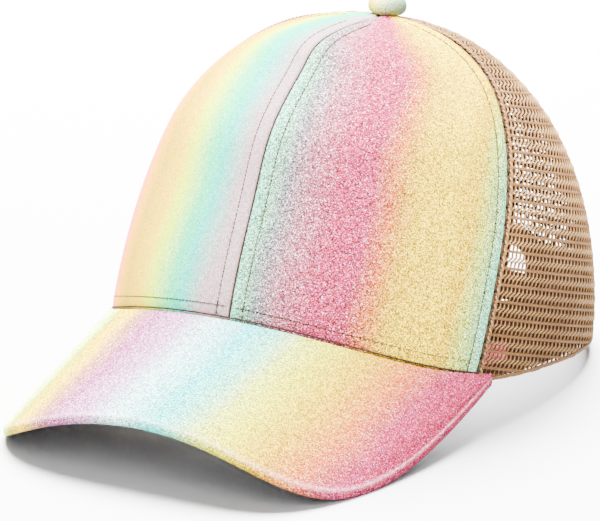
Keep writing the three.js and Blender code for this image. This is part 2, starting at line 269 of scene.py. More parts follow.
class Gore:
    """The part of the crown between two seams, with the measures of flat cloth: a share across
    at even steps of length, the width at each elevation, and the length up the middle."""

    ROWS = 175
    SAMPLES = 201

    def __init__(self, start, end, top=APEX_HOLE_ELEVATION):
        self.elevations = np.linspace(0, top, self.ROWS)
        self.shares = np.linspace(0, 1, self.SAMPLES)
        rows = self.elevations[:, None]
        bearings = mix(start(rows), end(rows), self.shares)
        along = lengths_along(crown_point(bearings, rows), axis=1)
        self.widths = along[:, -1]
        self.even = np.stack([
            np.interp(self.shares * width, steps, row)
            for width, steps, row in zip(self.widths, along, bearings)
        ])
        middle = self.even[:, self.SAMPLES // 2]
        self.heights = lengths_along(crown_point(middle, self.elevations), axis=0)

    def width(self, elevation):
        return np.interp(elevation, self.elevations, self.widths)

    def height(self, elevation):
        return np.interp(elevation, self.elevations, self.heights)

    def elevation(self, height):
        return np.interp(height, self.heights, self.elevations)

    def bearing(self, share, elevation):
        """Bilinear reading of the even bearings."""
        row = np.clip(elevation / self.elevations[-1], 0, 1) * (self.ROWS - 1)
        column = np.clip(share, 0, 1) * (self.SAMPLES - 1)
        i = np.minimum(row.astype(int), self.ROWS - 2)
        j = np.minimum(column.astype(int), self.SAMPLES - 2)
        low = mix(self.even[i, j], self.even[i, j + 1], column - j)
        high = mix(self.even[i + 1, j], self.even[i + 1, j + 1], column - j)
        return mix(low, high, row - i)


# Peak


def peak_root_height(bearing):
    """Height of the peak's root on the crown: an arch of a cosine's power over the forehead."""
    span = np.clip(np.abs(bearing) / (PEAK_END_BEARING + PEAK_CORNER_SPAN), 0, 1)
    return mix(PEAK_ROOT_CORNER, PEAK_ROOT_ARCH, np.cos(span * np.pi / 2) ** PEAK_ROOT_SHARPNESS)


def rim_height(bearing):
    """Lower edge of the cloth: it reaches down behind the peak's root, to its underside."""
    under = np.maximum(0, peak_root_height(bearing) - PEAK_THICKNESS)
    return np.where(np.abs(bearing) > PEAK_END_BEARING + PEAK_CORNER_SPAN, 0, under)


def peak_surface_height(x, y):
    """Top face: a plane that droops ahead, less a curl of the side share squared and to the 4th."""
    root_front = crown_point(0.0, elevation_at(PEAK_ROOT_ARCH))[0, 1]
    share = np.minimum(np.abs(x) / PEAK_HALF_WIDTH, 1)
    curl = PEAK_CURL_DROP * mix(share**2, share**4, PEAK_CURL_SHARPNESS)
    return PEAK_ROOT_ARCH - np.tan(np.radians(PEAK_DROOP_ANGLE)) * (root_front - y) - curl


def peak_rim(across):
    """Half of a squared oval, even by length, from the middle of the peak to its end."""
    reach = PEAK_WIDEST_Y + CROWN_FRONT + PEAK_LENGTH
    exponent = 2 / PEAK_SQUARENESS
    end_y = crown_point(PEAK_END_BEARING, 0.0)[0, 1] + GAP
    end_turn = np.arccos(((PEAK_WIDEST_Y - end_y) / reach) ** (1 / exponent))
    turn = np.linspace(0, end_turn, 2000)
    x = PEAK_HALF_WIDTH * np.sin(turn) ** exponent
    y = PEAK_WIDEST_Y - reach * np.cos(turn) ** exponent
    along = lengths_along(np.stack([x, y], axis=-1), axis=0)
    place = np.abs(across) * along[-1]
    return np.sign(across) * np.interp(place, along, x), np.interp(place, along, y)


def peak_top(across, out, drop=0.0):
    """From the root on the crown, at out 0, straight in plan to the rim, at out 1. The height is
    the top face's, with the root's own difference fading outwards. A drop lowers it."""
    across, out, drop = np.broadcast_arrays(across, out, drop)
    bearing = across * PEAK_END_BEARING
    height = peak_root_height(bearing)
    foot = crown_at_depth(bearing, elevation_at(height - drop * (out < 1e-6)), -GAP)
    root = crown_at_depth(bearing, elevation_at(height), -GAP)
    rim_x, rim_y = peak_rim(across)
    x = mix(np.where(out < 1e-6, foot[..., 0], root[..., 0]), rim_x, out)
    y = mix(np.where(out < 1e-6, foot[..., 1], root[..., 1]), rim_y, out)
    miss = height - peak_surface_height(root[..., 0], root[..., 1])
    z = peak_surface_height(x, y) + miss * (1 - out)
    z = np.where(out < 1e-6, height, z) - drop
    return np.stack([x, y, z], axis=-1)


# Meshes


def to_rest(points):
    """From the crown's own frame, in millimetres, to the resting cap, in metres."""
    x, y, z = np.moveaxis(points * MM, -1, 0)
    turned = [x, y * np.cos(LEAN) + z * np.sin(LEAN), z * np.cos(LEAN) - y * np.sin(LEAN)]
    return np.stack(turned, axis=-1) + RIM_MIDDLE


cap_pieces = bpy.data.collections.new("cap_pieces")


def add_mesh(name, points, quads, materials, faces_of=None, cloth=None):
    """Points, quads of point numbers, a material number for each quad, and flat cloth places."""
    mesh = bpy.data.meshes.new(name)
    mesh.from_pydata(to_rest(points.reshape(-1, 3)).tolist(), [], quads.tolist())
    for material in materials:
        mesh.materials.append(material)
    if faces_of is not None:
        mesh.polygons.foreach_set("material_index", faces_of.astype(np.int32))
    if cloth is not None:
        layer = mesh.uv_layers.new(name="cloth")
        layer.uv.foreach_set("vector", cloth.reshape(-1, 2)[quads.ravel()].astype(np.float32).ravel())
    mesh.shade_smooth()
    mesh.update()
    piece = bpy.data.objects.new(name, mesh)
    bpy.context.collection.objects.link(piece)
    cap_pieces.objects.link(piece)
    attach(piece, "root")
    return piece


def grid_quads(columns, rows, first=0):
    """Quads of a grid of columns by rows points, numbered column after column."""
    i, j = np.meshgrid(np.arange(columns - 1), np.arange(rows - 1), indexing="ij")
    a = first + (i * rows + j).ravel()
    return np.stack([a, a + rows, a + rows + 1, a + 1], axis=-1)


def slab(name, outer, inner, materials, cloth=None):
    """A closed wall between an outer and an inner grid. Its inner face takes the last material."""
    columns, rows = outer.shape[:2]
    count = columns * rows
    front = grid_quads(columns, rows)
    back = grid_quads(columns, rows, count)[:, ::-1]
    number = np.arange(count).reshape(columns, rows)
    border = np.concatenate([number[:, 0], number[-1, 1:], number[-2::-1, -1], number[0, -2::-1]])
    a, b = border[:-1], border[1:]
    wall = np.stack([b, a, a + count, b + count], axis=-1)
    quads = np.concatenate([front, back, wall])
    corner = outer[0, 0]
    facing = np.cross(outer[1, 0] - corner, outer[0, 1] - corner) @ (corner - inner[0, 0])
    if facing < 0:
        quads = quads[:, ::-1]
    faces_of = np.zeros(len(quads))
    faces_of[len(front):len(front) + len(back)] = len(materials) - 1
    if cloth is not None:
        cloth = np.concatenate([cloth.reshape(-1, 2)] * 2)
    points = np.concatenate([outer.reshape(-1, 3), inner.reshape(-1, 3)])
    return add_mesh(name, points, quads, materials, faces_of, cloth)


def crown_slab(name, bearing, elevation, depth, wall, materials, cloth=None, edge=0.35):
    """A wall on the crown between two depths, with its border pinched towards its middle depth."""
    columns, rows = bearing.shape
    inner_edge = np.zeros((columns, rows), bool)
    inner_edge[[0, -1], :] = True
    inner_edge[:, [0, -1]] = True
    pinch = np.where(inner_edge, edge * wall, 0)
    outer = crown_at_depth(bearing, elevation, depth + pinch)
    inner = crown_at_depth(bearing, elevation, depth + wall - pinch)
    return slab(name, outer, inner, materials, cloth)


def close_steps(count, edge):
    """Places from 0 to 1 with short steps at both ends: an edge's width in two steps each side."""
    middle = np.linspace(edge, 1 - edge, count - 3)
    return np.concatenate([[0, edge / 3], middle, [1 - edge / 3, 1]])


def tube(name, path, normals, radius, materials, sides=8, swell=None):
    """A round section carried along a path, closed by its ends. swell gives the share by which the
    radius changes, for each step along the path and each side."""
    along = unit(np.gradient(path, axis=0))
    aside = unit(np.cross(along, normals))
    above = np.cross(aside, along)
    turn = np.arange(sides) / sides * 2 * np.pi
    size = np.full((len(path), sides), float(radius))
    if swell is not None:
        size *= 1 + swell(np.arange(len(path))[:, None], turn)
    size[[0, -1]] *= 0.1
    ring = aside[:, None] * np.cos(turn)[:, None] + above[:, None] * np.sin(turn)[:, None]
    points = path[:, None] + ring * size[..., None]
    i, j = np.meshgrid(np.arange(len(path) - 1), np.arange(sides), indexing="ij")
    a = (i * sides + j).ravel()
    b = (i * sides + (j + 1) % sides).ravel()
    quads = np.stack([a, b, b + sides, a + sides], axis=-1)
    first = np.arange(sides)
    last = first + (len(path) - 1) * sides
    half = sides // 2
    caps = [
        ring_cap(first, half),
        ring_cap(last, half)[:, ::-1],
    ]
    quads = np.concatenate([quads[:, ::-1]] + caps)
    return add_mesh(name, points, quads, materials)


def ring_cap(ring, half):
    """Quads that close a ring with an even number of sides, in strips from one side to the other."""
    k = np.arange(half - 1)
    size = len(ring)
    return ring[np.stack([k, k + 1, size - 2 - k, size - 1 - k], axis=-1) % size]


def threads(name, paths, normals, sizes, materials, sides=4, flatness=1.0):
    """One strand along each path: a ring of points around every point of it, as wide as its size
    says and flattened towards the cloth, closed at both ends. All are joined in one mesh."""
    count, steps = paths.shape[:2]
    along = unit(np.gradient(paths, axis=1))
    aside = unit(np.cross(along, normals[:, None]))
    above = np.cross(aside, along) * flatness
    turn = (np.arange(sides) + 0.5) / sides * 2 * np.pi
    ring = aside[:, :, None] * np.cos(turn)[:, None] + above[:, :, None] * np.sin(turn)[:, None]
    points = paths[:, :, None] + ring * np.array(sizes)[:, None, None]
    i, j = np.meshgrid(np.arange(steps - 1), np.arange(sides), indexing="ij")
    a = (i * sides + j).ravel()
    b = (i * sides + (j + 1) % sides).ravel()
    first = np.arange(sides)
    one = np.concatenate([
        np.stack([a + sides, b + sides, b, a], axis=-1),
        ring_cap(first, sides // 2),
        ring_cap(first + (steps - 1) * sides, sides // 2)[:, ::-1],
    ])
    offset = np.arange(count) * steps * sides
    quads = (one[None] + offset[:, None, None]).reshape(-1, 4)
    return add_mesh(name, points, quads, materials)


# Materials


def srgb(red, green, blue):
    """A colour as seen on a screen, from 0 to 255, as the linear values that shaders take."""
    share = np.array([red, green, blue]) / 255
    linear = np.where(share <= 0.04045, share / 12.92, ((share + 0.055) / 1.055) ** 2.4)
    return (*linear.tolist(), 1.0)


# The dyes are strong, because the bright studio light washes them out
MINT = srgb(75, 150, 122)
SAGE = srgb(80, 126, 95)
ASH = srgb(82, 82, 84)
DUSK = srgb(114, 62, 72)
ROSE = srgb(120, 35, 56)
BERRY = srgb(110, 25, 46)
CORAL = srgb(146, 70, 34)
AMBER = srgb(146, 112, 0)
GOLD = srgb(162, 130, 5)
LEMON = srgb(184, 150, 0)
LIME = srgb(140, 150, 50)
CITRON = srgb(148, 144, 8)
LEAF = srgb(110, 140, 76)
AQUA = srgb(22, 147, 144)
MAUVE = srgb(116, 54, 90)
LILAC = srgb(132, 90, 124)
PEARL = srgb(124, 164, 158)
BLUSH = srgb(134, 84, 62)
SILK = srgb(132, 110, 112)
TEAL = srgb(0, 148, 128)
EMERALD = srgb(20, 165, 104)
CHARTREUSE = srgb(162, 185, 4)
ORANGE = srgb(206, 136, 2)
SALMON = srgb(220, 112, 64)
PINK = srgb(214, 78, 96)
CERISE = srgb(176, 40, 84)
SNOW = srgb(205, 255, 120)
# Heights in metres of painted shade on the net's threads: darkest below the first, none above the second
NET_PAINTED_SHADE_LOW = 0.034
NET_PAINTED_SHADE_HIGH = 0.07
TAN = srgb(106, 72, 38)
TAN_DARK = srgb(58, 38, 20)
TAN_LIGHT = srgb(136, 98, 54)

# Stripes of the printed cloth, by millimetres across it
LEFT_STRIPES = [
    (0, MINT), (5, SAGE), (11, ASH), (20, DUSK), (32, ROSE), (44, ROSE), (52, CORAL), (62, GOLD),
    (76, LEMON), (86, GOLD), (92, LIME), (97, LEAF), (103, MINT),
]
RIGHT_STRIPES = [
    (0, SILK), (14, SILK), (25, TEAL), (32, EMERALD), (42, CHARTREUSE), (50, LEMON), (62, GOLD),
    (72, ORANGE), (79, SALMON), (86, PINK), (108, CERISE),
]
PEAK_STRIPES = [
    (0, SNOW), (20, SNOW), (28, CITRON), (36, LEMON), (43, BLUSH), (51, MAUVE), (66, LILAC), (78, PEARL),
    (94, AQUA), (104, MINT), (113, LIME), (122, CITRON), (136, AMBER), (148, CORAL), (157, ROSE),
    (168, BERRY),
]
BUTTON_STRIPES = [
    (0, srgb(190, 140, 0)),
    (4, srgb(206, 170, 0)),
    (7, srgb(190, 192, 96)),
    (11, srgb(130, 152, 112)),
    (16, srgb(70, 92, 80)),
]
TUCK_STRIPES = [(0, srgb(240, 80, 110)), (30, srgb(240, 80, 110))]
STRIPE_SPAN = 170
RIGHT_STRIPE_LEAN = 0.125
GATHER_WIDTH = 77
PEAK_STRIPE_LEAN = 6.0


class Maker:
    """Adds nodes to a material and joins them."""

    def __init__(self, name):
        self.material = bpy.data.materials.new(name)
        self.material.use_nodes = True
        self.nodes = self.material.node_tree.nodes
        self.links = self.material.node_tree.links
        self.shader = self.nodes["Principled BSDF"]

    def join(self, socket, target):
        if isinstance(socket, bpy.types.NodeSocket):
            self.links.new(socket, target)
        else:
            target.default_value = socket

    def math(self, operation, *values):
        node = self.nodes.new("ShaderNodeMath")
        node.operation = operation
        for value, target in zip(values, node.inputs):
            self.join(value, target)
        return node.outputs[0]

    def vector(self, operation, *values):
        node = self.nodes.new("ShaderNodeVectorMath")
        node.operation = operation
        for value, target in zip(values, node.inputs):
            self.join(value, target)
        return node.outputs[0]

    def scale(self, vector, factor):
        node = self.nodes.new("ShaderNodeVectorMath")
        node.operation = "SCALE"
        self.join(vector, node.inputs[0])
        self.join(factor, node.inputs["Scale"])
        return node.outputs[0]

    def range(self, value, low, high, to_low, to_high):
        node = self.nodes.new("ShaderNodeMapRange")
        for item, target in zip((value, low, high, to_low, to_high), node.inputs):
            self.join(item, target)
        return node.outputs[0]

    def mix(self, share, a, b, blend="MIX"):
        node = self.nodes.new("ShaderNodeMix")
        node.data_type = "RGBA"
        node.blend_type = blend
        for item, target in zip((share, a, b), (node.inputs[0], node.inputs[6], node.inputs[7])):
            self.join(item, target)
        return node.outputs[2]

    def place(self):
        return self.nodes.new("ShaderNodeTexCoord").outputs["Object"]

    def cloth(self):
        """Across and up the flat cloth."""
        source = self.nodes.new("ShaderNodeUVMap")
        source.uv_map = "cloth"
        split = self.nodes.new("ShaderNodeSeparateXYZ")
        self.links.new(source.outputs[0], split.inputs[0])
        return split.outputs[0], split.outputs[1]

    def noise(self, scale, detail=2.0, roughness=0.5):
        node = self.nodes.new("ShaderNodeTexNoise")
        self.join(self.place(), node.inputs["Vector"])
        node.inputs["Scale"].default_value = scale
        node.inputs["Detail"].default_value = detail
        node.inputs["Roughness"].default_value = roughness
        return node.outputs["Fac"]

    def cells(self, scale):
        """Random colour of small cells."""
        node = self.nodes.new("ShaderNodeTexVoronoi")
        self.join(self.place(), node.inputs["Vector"])
        node.inputs["Scale"].default_value = scale
        return node.outputs["Color"], node.outputs["Distance"]

    def split(self, colour):
        node = self.nodes.new("ShaderNodeSeparateColor")
        self.join(colour, node.inputs[0])
        return node.outputs[0], node.outputs[1], node.outputs[2]

    def ramp(self, value, stops):
        node = self.nodes.new("ShaderNodeValToRGB")
        self.join(value, node.inputs[0])
        elements = node.color_ramp.elements
        while len(elements) < len(stops):
            elements.new(0.5)
        for element, (position, colour) in zip(elements, stops):
            element.position = position
            element.color = colour
        return node.outputs[0]

    def bump(self, height, strength, distance, normal=None):
        node = self.nodes.new("ShaderNodeBump")
        node.inputs["Strength"].default_value = strength
        node.inputs["Distance"].default_value = distance
        self.join(height, node.inputs["Height"])
        if normal is not None:
            self.join(normal, node.inputs["Normal"])
        return node.outputs[0]


FLAKES_PER_METRE = 3200


def printed_stripes(m, across, stripes):
    """The stripes' colours, wandering a little to both sides as dyed colours do."""
    wander = m.range(m.noise(22, 3), 0.25, 0.75, -2.5 / STRIPE_SPAN, 2.5 / STRIPE_SPAN)
    stops = [(place / STRIPE_SPAN, colour) for place, colour in stripes]
    return m.ramp(m.math("ADD", across, wander), stops)


def glitter_cloth(name, stripes, dull, bright, glint, worn_edge=False):
    """Printed stripes under fine glitter: each flake has its own tilt and gloss, and a shade
    between dull and bright, even in its logarithm. A few flakes carry a painted glint."""
    m = Maker(name)
    across, up = m.cloth()
    colour = printed_stripes(m, across, stripes)
    flake, edge = m.cells(FLAKES_PER_METRE)
    red, green, blue = m.split(flake)
    shade = m.math("MULTIPLY", dull, m.math("POWER", bright / dull, red))
    colour = m.vector("MINIMUM", m.scale(colour, shade), (1.0, 1.0, 1.0))
    # Painted glint: flakes with a high green value are mixed towards a brighter copy of their colour
    painted_glint_share = m.range(green, 0.8, 1.0, 0.0, glint)
    painted_glint_colour = m.vector("MINIMUM", m.scale(colour, 20.0), (1.0, 1.0, 1.0))
    colour = m.mix(painted_glint_share, colour, painted_glint_colour)
    if worn_edge:
        near = m.math("MULTIPLY", m.range(up, -2.2, -1.2, 0.0, 1.0), m.range(up, -0.2, 1.2, 1.0, 0.0))
        scuffs = m.range(m.noise(900, 3, 0.7), 0.35, 0.65, 0.0, 0.35)
        colour = m.mix(m.math("MULTIPLY", scuffs, near), colour, srgb(204, 164, 168))
    m.join(colour, m.shader.inputs["Base Color"])
    m.join(m.range(blue, 0.0, 1.0, 0.55, 0.95), m.shader.inputs["Roughness"])
    tilt = m.vector("SUBTRACT", flake, (0.5, 0.5, 0.5))
    tilt = m.vector("MULTIPLY", tilt, (0.8, 0.8, 0.8))
    facing = m.nodes.new("ShaderNodeNewGeometry").outputs["Normal"]
    normal = m.vector("NORMALIZE", m.vector("ADD", facing, tilt))
    m.join(m.bump(edge, 0.25, 0.0002, normal), m.shader.inputs["Normal"])
    m.shader.inputs["Specular IOR Level"].default_value = 0.04
    return m.material


def plain_cloth(name, colour, dark, weave=1500.0, strength=0.4, rough=0.85):
    """Woven cloth: two crossed sets of ribs, a slow change of shade and a soft sheen."""
    m = Maker(name)
    split = m.nodes.new("ShaderNodeSeparateXYZ")
    m.join(m.place(), split.inputs[0])
    slant = m.math("ADD", split.outputs[0], split.outputs[1])
    warp = m.math("SINE", m.math("MULTIPLY", slant, weave * 3.1))
    weft = m.math("SINE", m.math("MULTIPLY", split.outputs[2], weave * 3.1))
    rib = m.math("MULTIPLY", warp, weft)
    shade = m.math("ADD", m.noise(60, 4, 0.6), m.math("MULTIPLY", rib, 0.12))
    m.join(m.mix(m.range(shade, 0.3, 0.75, 0.0, 1.0), dark, colour), m.shader.inputs["Base Color"])
    m.join(m.bump(rib, strength, 0.00025), m.shader.inputs["Normal"])
    m.shader.inputs["Roughness"].default_value = rough
    m.shader.inputs["Specular IOR Level"].default_value = 0.1
    return m.material


def knit_thread(name, colour, dark, light, painted_shade_share=1.0):
    """Knitted thread: fine fibres that vary in shade, paler where they stand proud. Towards the rim
    the colour falls to a share of itself, as painted shade."""
    m = Maker(name)
    fibres = m.noise(1900, 3, 0.7)
    slow = m.noise(45, 2)
    shade = m.math("ADD", m.math("MULTIPLY", fibres, 0.7), m.math("MULTIPLY", slow, 0.3))
    stops = [(0.3, dark), (0.5, colour), (0.72, light)]
    up = m.split(m.place())[2]
    # Painted shade: the threads darken towards the rim, below the heights above
    painted_shade = m.range(up, NET_PAINTED_SHADE_LOW, NET_PAINTED_SHADE_HIGH, painted_shade_share, 1.0)
    m.join(m.scale(m.ramp(shade, stops), painted_shade), m.shader.inputs["Base Color"])
    m.join(m.bump(fibres, 0.5, 0.0002), m.shader.inputs["Normal"])
    m.shader.inputs["Roughness"].default_value = 0.75
    m.shader.inputs["Specular IOR Level"].default_value = 0.12
    return m.material


left_cloth = glitter_cloth("glitter_cloth_left", LEFT_STRIPES, 0.16, 2.9, 0.5)
right_cloth = glitter_cloth("glitter_cloth_right", RIGHT_STRIPES, 0.75, 1.3, 0.1)
peak_cloth = glitter_cloth("glitter_cloth_peak", PEAK_STRIPES, 0.22, 2.3, 0.4, worn_edge=True)
button_cloth = glitter_cloth("glitter_cloth_button", BUTTON_STRIPES, 0.7, 1.25, 0.1)
tuck_cloth = glitter_cloth("glitter_cloth_tuck", TUCK_STRIPES, 0.6, 1.5, 0.1)
under_cloth = plain_cloth("peak_under_cloth", srgb(84, 84, 87), srgb(66, 66, 70), weave=1300.0)
# A near-black cloth for tubes of painted shade in the seams and joints
painted_crease_shade = plain_cloth("painted_crease_shade", srgb(46, 28, 22), srgb(32, 20, 16))
backing = plain_cloth("cloth_backing", srgb(96, 72, 54), srgb(74, 54, 40))
net_thread = knit_thread("net_thread", TAN, TAN_DARK, TAN_LIGHT, 0.6)
# Near-black thread for the walls and backs of the net's holes: painted shade
painted_hole_shade = knit_thread("painted_hole_shade", srgb(30, 18, 12), srgb(20, 12, 8), srgb(42, 26, 18))
strand_thread = knit_thread("strand_thread", srgb(136, 103, 62), srgb(78, 54, 31), srgb(168, 134, 88), 0.6)
# The seam tapes' brown, darkened further as painted shade behind the net beside the seams
tape_cloth_and_painted_shade = plain_cloth("tape_cloth_and_painted_shade", srgb(56, 32, 20), srgb(40, 22, 14))
binding_cloth = plain_cloth("binding_cloth", srgb(90, 62, 36), srgb(66, 44, 26))
band_cloth = plain_cloth("band_cloth", srgb(72, 46, 30), srgb(54, 34, 22), weave=1100.0)
strap_cloth = plain_cloth("strap_cloth", srgb(90, 62, 36), srgb(66, 44, 26), weave=900.0)
sewing_thread = knit_thread("sewing_thread", srgb(56, 46, 30), srgb(36, 28, 18), srgb(80, 68, 46))
# Near-black tubes in the needle holes: painted shade
painted_needle_hole_shade = plain_cloth("painted_needle_hole_shade", srgb(18, 12, 10), srgb(12, 8, 6))


# Front panels


def mirrored(points):
    return points * np.array([-1, 1, 1])


front_gore = Gore(centre_seam, front_seam, PANEL_TOP_ELEVATION)
side_gore = Gore(front_seam, back_seam)
back_gore = Gore(back_seam, rear_seam)


def panel_relief(from_seams, from_foot, up):
    """How far the cloth stands proud: rolled under at its edges, padded by the folded allowance,
    drawn in along the stitch rows with a small pucker at each stitch, and a little uneven."""
    edge = np.minimum(from_seams, from_foot)
    roll = 1.3
    inside = np.clip(1 - edge / roll, 0, 1)
    relief = -1.2 * (1 - np.sqrt(1 - inside**2))
    relief += 0.28 * np.sin(np.pi * np.clip(from_seams / SEAM_ROW, 0, 1))
    pull = np.exp(-(((from_seams - SEAM_ROW) / 0.7) ** 2))
    hem_pull = np.exp(-(((from_foot - HEM_ROW) / 0.7) ** 2))
    pucker = 0.8 + 0.2 * np.cos(2 * np.pi * up / STITCH_PITCH)
    return relief - 0.38 * pull * pucker - 0.3 * hem_pull


def front_panel_place(share, rise):
    """Elevation from the lower edge to the top, bearing even across, less half a gap."""
    rim = elevation_at(rim_height(FRONT_SEAM_BEARING * share))
    elevation = mix(rim, PANEL_TOP_ELEVATION, rise)
    inset = GAP / 2 / front_gore.width(elevation)
    return front_gore.bearing(mix(inset, 1 - inset, share), elevation), elevation


def stripe_place(across, width, up, lean, closing, shift):
    """Millimetres across the printed cloth: the stripes run up the panel, may lean, close up where
    it narrows to the button, and shift aside near its top."""
    gather = mix(1, (1 + (GATHER_WIDTH / width) ** 8) ** 0.125, closing)
    return across * gather + lean * 90 * np.tanh(up / 90) + shift * smooth_step(up, 115, 150)


def front_panel(side, name, material, lean, closing, shift):
    share, rise = np.meshgrid(close_steps(96, 0.012), close_steps(84, 0.01), indexing="ij")
    share = mix(share, smooth_step(share, 0, 1), 0.45)
    bearing, elevation = front_panel_place(share, rise)
    width = front_gore.width(elevation)
    across = share * width
    up = front_gore.height(elevation)
    root = front_gore.height(elevation_at(peak_root_height(bearing)))
    relief = panel_relief(np.minimum(across, width - across), np.maximum(up - root, 0), up)
    outer = crown_at_depth(bearing, elevation, -relief)
    inner = crown_at_depth(bearing, elevation, PANEL_WALL)
    place = stripe_place(across, width, up, lean, closing, shift)
    cloth = np.stack([place, up], axis=-1) / STRIPE_SPAN
    if side < 0:
        outer, inner = mirrored(outer), mirrored(inner)
    piece = slab(name, outer, inner, [material, backing], cloth)
    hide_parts(name)


front_panel(1, "front_panel_left", left_cloth, 0, 1, 8)
front_panel(-1, "front_panel_right", right_cloth, RIGHT_STRIPE_LEAN, 0.1, 0)


# Stitches


def along_path(distance, along, values):
    return np.stack([np.interp(distance, along, values[:, k]) for k in range(3)], axis=-1)


def stitch_row(name, path, normals, material=None):
    """Even stitches along a path: each rises out of one needle hole and sinks into the next."""
    along = lengths_along(path, axis=0)
    places = (np.arange(int(along[-1] // STITCH_PITCH)) + 0.15) * STITCH_PITCH
    shares = np.array([0, 0.2, 0.8, 1])
    points = along_path(places[:, None] + STITCH_LENGTH * shares, along, path)
    out = unit(along_path(places, along, normals))
    rise = np.array([-0.15, 0.12, 0.12, -0.15])
    points = points + out[:, None] * rise[:, None]
    sizes = np.array([0.5, 1, 1, 0.5]) * THREAD_RADIUS
    thread = threads(name, points, out, sizes, [material or sewing_thread])
    gap = STITCH_PITCH - STITCH_LENGTH
    # Painted shade in the needle holes between stitches
    hole = along_path(places[:, None] - gap * np.array([0.95, 0.6, 0.4, 0.05]), along, path)
    holes = threads(name + "_holes", hole, out, np.array([0.4, 1, 1, 0.4]) * NEEDLE_HOLE_RADIUS, [painted_needle_hole_shade])


def panel_line(share, elevation, from_seams, from_foot, side):
    """Points on the front panel's relief, and their normals."""
    bearing = front_gore.bearing(share, elevation)
    up = front_gore.height(elevation)
    relief = panel_relief(from_seams, from_foot, up)
    points = crown_at_depth(bearing, elevation, -relief - 0.1)
    normals = crown_normal(bearing, elevation)
    if side < 0:
        points, normals = mirrored(points), mirrored(normals)
    return points, normals


def panel_stitches(side, word):
    """One row beside each seam, and one above the lower edge that runs from seam to seam."""
    steps = np.linspace(0, 1, 400)
    inset = np.full(400, SEAM_ROW)
    for seam, corner in (("centre", 4.0), ("side", 63.0)):
        low = elevation_at(rim_height(corner) + HEM_ROW)
        elevation = mix(low, 84.0, steps)
        share = SEAM_ROW / front_gore.width(elevation)
        share = share if seam == "centre" else 1 - share
        points, normals = panel_line(share, elevation, inset, inset * 9, side)
        stitch_row(f"{seam}_seam_stitches_{word}", points, normals)
    share = mix(0.016, 0.984, steps)
    elevation = elevation_at(rim_height(FRONT_SEAM_BEARING * share) + PEAK_THICKNESS + HEM_ROW)
    edge = np.minimum(share, 1 - share) * front_gore.width(elevation)
    points, normals = panel_line(share, elevation, edge, inset * 0 + HEM_ROW, side)
    stitch_row(f"hem_stitches_{word}", points, normals)


panel_stitches(1, "left")
panel_stitches(-1, "right")


def creases():
    """Painted shade in the joints: a dark tube deep in the centre seam, and one along the line
    between the crown and the peak's root."""
    elevation = np.linspace(float(elevation_at(PEAK_ROOT_ARCH)), 86, 300)
    normals = crown_normal(0.0, elevation)
    path = crown_at_depth(0.0, elevation, 0.55)
    piece = tube("centre_seam_painted_shade", path, normals, 0.42, [painted_crease_shade], sides=6)
    bearing = np.linspace(-68, 68, 400)
    elevation = elevation_at(peak_root_height(bearing) + 0.15)
    path = crown_at_depth(bearing, elevation, 0.1)
    piece = tube("peak_root_painted_shade", path, crown_normal(bearing, elevation), 0.3, [painted_crease_shade], sides=6)


creases()


# Peak


def peak_piece():
    """The top face out to a small ridge, a rounded edge band, and the underside back to the root:
    one closed section for each place across, joined at its ends."""
    across = close_steps(150, 0.006) * 2 - 1
    top = np.concatenate([[0, 0.006, 0.014, 0.026], np.linspace(0.045, 0.9, 26), np.linspace(0.92, 1, 8)])
    turn = np.radians(np.linspace(75, -75, 9))
    out = np.concatenate([top, np.ones(9), top[::-1]])
    across, out = np.meshgrid(across, out, indexing="ij")
    half = PEAK_THICKNESS / 2
    drop = np.concatenate([np.zeros(38), half * (1 - np.sin(turn)), np.full(38, 2 * half)])
    points = peak_top(across, out, np.broadcast_to(drop, across.shape))
    rim = peak_top(across[:, :1], 1.0)
    inward = peak_top(across[:, :1], 0.97)
    outward = unit((rim - inward) * np.array([1, 1, 0]))
    bulge = np.concatenate([np.zeros(38), 1.1 * np.cos(turn), np.zeros(38)])
    points = points + outward * (bulge[:, None] - 1.1)* smooth_step(out, 0.8, 1)[..., None]
    ridge = np.concatenate([0.18 * np.exp(-(((top - 0.975) / 0.03) ** 2)), np.zeros(47)])
    points[..., 2] += ridge * smooth_step(np.abs(across), 1, 0.9)
    fold = np.concatenate([-0.8 * (1 - smooth_step(top, 0, 0.03)), np.zeros(47)])
    points[..., 2] += fold
    columns, rows = across.shape
    quads = grid_quads(columns, rows)
    first = np.arange(rows)
    ends = [ring_cap(first, rows // 2), ring_cap(first + (columns - 1) * rows, rows // 2)[:, ::-1]]
    number = np.arange(columns) * rows
    root = np.stack([number[:-1] + rows - 1, number[1:] + rows - 1, number[1:], number[:-1]], axis=-1)
    quads = np.concatenate([quads, root] + ends)
    reach = np.concatenate([top, np.full(9, 1.0), top[::-1]])
    place = points[..., 0] + PEAK_HALF_WIDTH + PEAK_STRIPE_LEAN * reach
    inward = np.concatenate([(1 - top) * PEAK_LENGTH, -0.5 * np.arange(1, 10), -5 - 40 * (1 - top[::-1])])
    cloth = np.stack([place / STRIPE_SPAN, np.broadcast_to(inward, across.shape)], axis=-1)
    faces_of = np.zeros(len(quads))
    faces_of[:(columns - 1) * (rows - 1)] = np.tile(np.arange(rows - 1) >= 46, columns - 1)
    faces_of[(columns - 1) * (rows - 1):] = 1
    materials = [peak_cloth, under_cloth]
    piece = add_mesh("peak", points.reshape(-1, 3), quads[:, ::-1], materials, faces_of, cloth)
    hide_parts("peak")


peak_piece()


# Button


